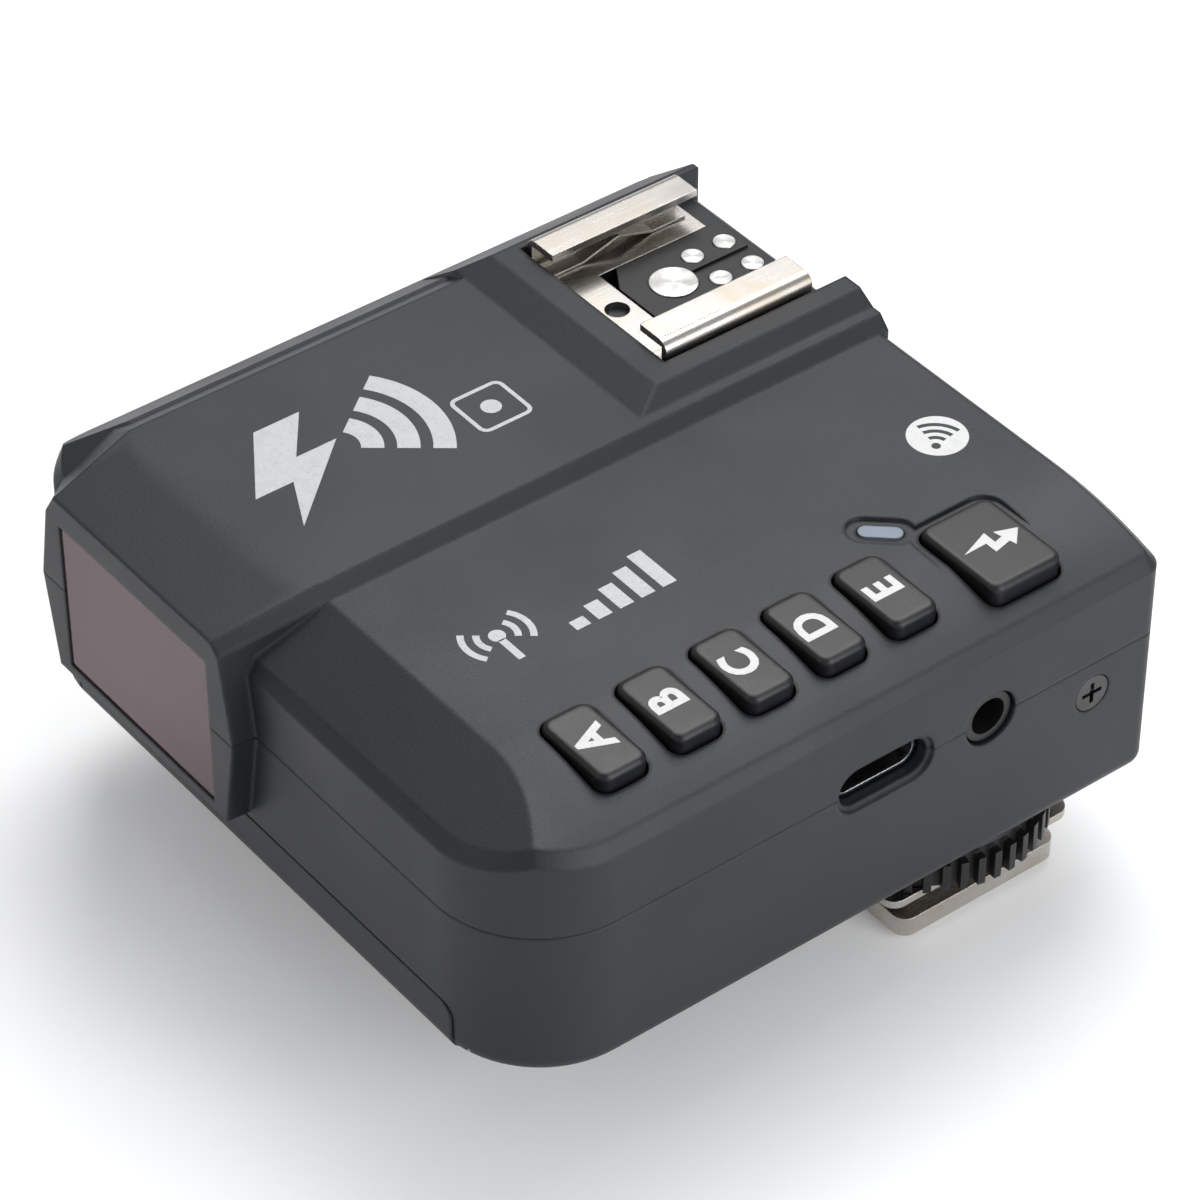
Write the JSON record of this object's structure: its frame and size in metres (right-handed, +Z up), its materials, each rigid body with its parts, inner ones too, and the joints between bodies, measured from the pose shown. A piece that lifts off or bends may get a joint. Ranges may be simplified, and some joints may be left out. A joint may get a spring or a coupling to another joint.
{
  "type": "wireless flash trigger",
  "caption": "Hot-shoe radio flash trigger: charcoal box casing with a raised ridge, pass-through shoe, red lamp window, group keys, sockets and a knurled lock wheel.",
  "frame": {"origin": "middle of the underside of the shoe foot, on the lock wheel's axis", "axes": "+Z up from the foot to the top shoe, -Y towards the subject, +X towards the socket side"},
  "size_m": [0.0717, 0.0747, 0.0406],
  "materials": {
    "casing": "fine-grained matt ABS, charcoal",
    "key_black": "satin black moulded key caps",
    "window_red": "dark red translucent window",
    "window_clear": "smoked display cover",
    "display": "grey-green LCD panel",
    "black_plastic": "plain black moulding",
    "light_pipe": "pale blue-grey light pipe",
    "nickel": "nickel-plated spring steel",
    "contact": "turned, scratched contact faces",
    "screw_black": "blackened steel screws",
    "steel": "bright steel",
    "brass": "gold-plated brass pins",
    "board": "green solder mask",
    "cell": "plain wrapped AA cells",
    "lamp": "red lamp dome",
    "mirror_cup": "bright reflector",
    "wheel_black": "hard black moulding"
  },
  "bodies": {
    "casing": {"top_shell": "casing", "bottom_shell": "casing", "door_hinge_pin": "steel", "case_screws": "screw_black", "aa_cells": "cell", "battery_springs": "nickel", "battery_contact_plates": "nickel", "main_board": "board", "rf_module_shield": "steel", "antenna": "brass", "tact_switches": "steel", "buzzer": "black_plastic", "port_board": "board", "rear_board": "board", "usb_c_shell": "steel", "usb_c_tongue": "black_plastic", "sync_jack": "black_plastic", "af_window": "window_red", "af_lamp_reflector": "mirror_cup", "af_lamp_led": "lamp", "status_light_pipe": "light_pipe", "lcd_window": "window_clear", "lcd_panel": "display", "lcd_frame": "black_plastic", "dial_encoder": "steel", "slide_switches": "steel", "shoe_rails": "nickel", "shoe_leaf_springs": "nickel", "shoe_contact_block": "black_plastic", "shoe_contacts": "contact", "shoe_screws": "steel", "foot_plate": "nickel", "foot_contact_block": "black_plastic", "foot_post": "steel", "foot_spacer": "steel", "foot_backing_plate": "steel", "foot_screws": "steel"},
    "key_a_body": {"key_a": "key_black"},
    "key_b_body": {"key_b": "key_black"},
    "key_c_body": {"key_c": "key_black"},
    "key_d_body": {"key_d": "key_black"},
    "key_e_body": {"key_e": "key_black"},
    "test_key_body": {"test_key": "key_black"},
    "key_menu_body": {"key_menu": "key_black"},
    "key_zoom_body": {"key_zoom": "key_black"},
    "key_mode_body": {"key_mode": "key_black"},
    "set_key_body": {"set_key": "key_black"},
    "dial_body": {"select_dial": "key_black"},
    "power_switch_knob_body": {"power_switch_knob": "black_plastic"},
    "focus_lamp_switch_knob_body": {"focus_lamp_switch_knob": "black_plastic"},
    "door_body": {"battery_door": "casing"},
    "latch_body": {"door_latch": "black_plastic"},
    "clamp_body": {"clamp_plate": "nickel"},
    "wheel_body": {"lock_wheel": "wheel_black"},
    "lock_pin_body": {"lock_pin": "steel"},
    "foot_pin_centre_body": {"foot_pin_centre": "brass"},
    "foot_pin_1_body": {"foot_pin_1": "brass"},
    "foot_pin_2_body": {"foot_pin_2": "brass"},
    "foot_pin_3_body": {"foot_pin_3": "brass"},
    "foot_pin_4_body": {"foot_pin_4": "brass"}
  },
  "joints": [
    {"name": "key_a_press", "type": "slide", "parent": "casing", "child": "key_a_body", "axis": [0, 0, -1], "range_m": [0, 0.0005], "stiffness_N_per_m": 300, "springref_m": -0.002},
    {"name": "key_b_press", "type": "slide", "parent": "casing", "child": "key_b_body", "axis": [0, 0, -1], "range_m": [0, 0.0005], "stiffness_N_per_m": 300, "springref_m": -0.002},
    {"name": "key_c_press", "type": "slide", "parent": "casing", "child": "key_c_body", "axis": [0, 0, -1], "range_m": [0, 0.0005], "stiffness_N_per_m": 300, "springref_m": -0.002},
    {"name": "key_d_press", "type": "slide", "parent": "casing", "child": "key_d_body", "axis": [0, 0, -1], "range_m": [0, 0.0005], "stiffness_N_per_m": 300, "springref_m": -0.002},
    {"name": "key_e_press", "type": "slide", "parent": "casing", "child": "key_e_body", "axis": [0, 0, -1], "range_m": [0, 0.0005], "stiffness_N_per_m": 300, "springref_m": -0.002},
    {"name": "test_key_press", "type": "slide", "parent": "casing", "child": "test_key_body", "axis": [0, 0, -1], "range_m": [0, 0.0005], "stiffness_N_per_m": 300, "springref_m": -0.002},
    {"name": "key_menu_press", "type": "slide", "parent": "casing", "child": "key_menu_body", "axis": [0, -1, 0], "range_m": [0, 0.0005], "stiffness_N_per_m": 300, "springref_m": -0.002},
    {"name": "key_zoom_press", "type": "slide", "parent": "casing", "child": "key_zoom_body", "axis": [0, -1, 0], "range_m": [0, 0.0005], "stiffness_N_per_m": 300, "springref_m": -0.002},
    {"name": "key_mode_press", "type": "slide", "parent": "casing", "child": "key_mode_body", "axis": [0, -1, 0], "range_m": [0, 0.0005], "stiffness_N_per_m": 300, "springref_m": -0.002},
    {"name": "set_key_press", "type": "slide", "parent": "casing", "child": "set_key_body", "axis": [0, -1, 0], "range_m": [0, 0.0005], "stiffness_N_per_m": 300, "springref_m": -0.002},
    {"name": "dial_turn", "type": "hinge", "parent": "casing", "child": "dial_body", "pos_m": [0.0012, 0.015, 0.0214], "axis": [0, 1, 0], "continuous": true},
    {"name": "power_switch_slide", "type": "slide", "parent": "casing", "child": "power_switch_knob_body", "axis": [0, 1, 0], "range_m": [0, 0.003]},
    {"name": "focus_lamp_switch_slide", "type": "slide", "parent": "casing", "child": "focus_lamp_switch_knob_body", "axis": [0, 1, 0], "range_m": [0, 0.003]},
    {"name": "door_hinge", "type": "hinge", "parent": "casing", "child": "door_body", "pos_m": [-0.0232, -0.0529, 0.0115], "axis": [-1, 0, 0], "range_deg": [0, 100]},
    {"name": "latch_slide", "type": "slide", "parent": "door_body", "child": "latch_body", "axis": [0, -1, 0], "range_m": [0, 0.0025]},
    {"name": "lock_wheel_turn", "type": "hinge", "parent": "clamp_body", "child": "wheel_body", "pos_m": [0, 0, 0.007], "axis": [0, 0, 1], "range_deg": [0, 240]},
    {"name": "clamp_slide", "type": "slide", "parent": "casing", "child": "clamp_body", "axis": [0, 0, -1], "range_m": [0, 0.001]},
    {"name": "lock_pin_slide", "type": "slide", "parent": "casing", "child": "lock_pin_body", "axis": [0, 0, -1], "range_m": [0, 0.0015]},
    {"name": "foot_pin_centre_press", "type": "slide", "parent": "casing", "child": "foot_pin_centre_body", "axis": [0, 0, 1], "range_m": [0, 0.0006], "stiffness_N_per_m": 200, "springref_m": -0.001},
    {"name": "foot_pin_1_press", "type": "slide", "parent": "casing", "child": "foot_pin_1_body", "axis": [0, 0, 1], "range_m": [0, 0.0006], "stiffness_N_per_m": 200, "springref_m": -0.001},
    {"name": "foot_pin_2_press", "type": "slide", "parent": "casing", "child": "foot_pin_2_body", "axis": [0, 0, 1], "range_m": [0, 0.0006], "stiffness_N_per_m": 200, "springref_m": -0.001},
    {"name": "foot_pin_3_press", "type": "slide", "parent": "casing", "child": "foot_pin_3_body", "axis": [0, 0, 1], "range_m": [0, 0.0006], "stiffness_N_per_m": 200, "springref_m": -0.001},
    {"name": "foot_pin_4_press", "type": "slide", "parent": "casing", "child": "foot_pin_4_body", "axis": [0, 0, 1], "range_m": [0, 0.0006], "stiffness_N_per_m": 200, "springref_m": -0.001}
  ],
  "couplings": [
    {"joint": "lock_wheel_turn", "follows": "clamp_slide", "rad_per_m": 4188.8},
    {"joint": "lock_pin_slide", "follows": "clamp_slide", "ratio": 1.4}
  ]
}
